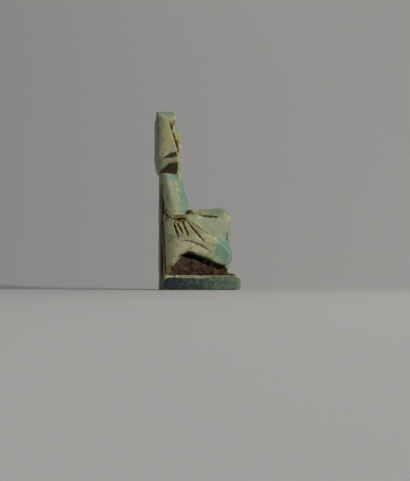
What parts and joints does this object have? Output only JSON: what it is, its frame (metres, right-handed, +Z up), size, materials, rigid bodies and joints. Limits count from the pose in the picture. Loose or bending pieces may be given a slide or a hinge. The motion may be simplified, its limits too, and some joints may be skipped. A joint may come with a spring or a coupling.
{
  "type": "amulet",
  "caption": "Small glazed faience amulet of a kneeling figure lifting a sun disc, standing on a low plinth with a back pillar.",
  "frame": {"origin": "on the underside of the plinth, below the middle of the bounding box", "axes": "+Z up, +X the way the figure faces, +Y towards the figure's left side, where the raised knee is"},
  "size_m": [0.014, 0.0088, 0.03],
  "materials": {
    "faience": "satin"
  },
  "bodies": {
    "root": {"amulet": "faience"}
  },
  "joints": []
}
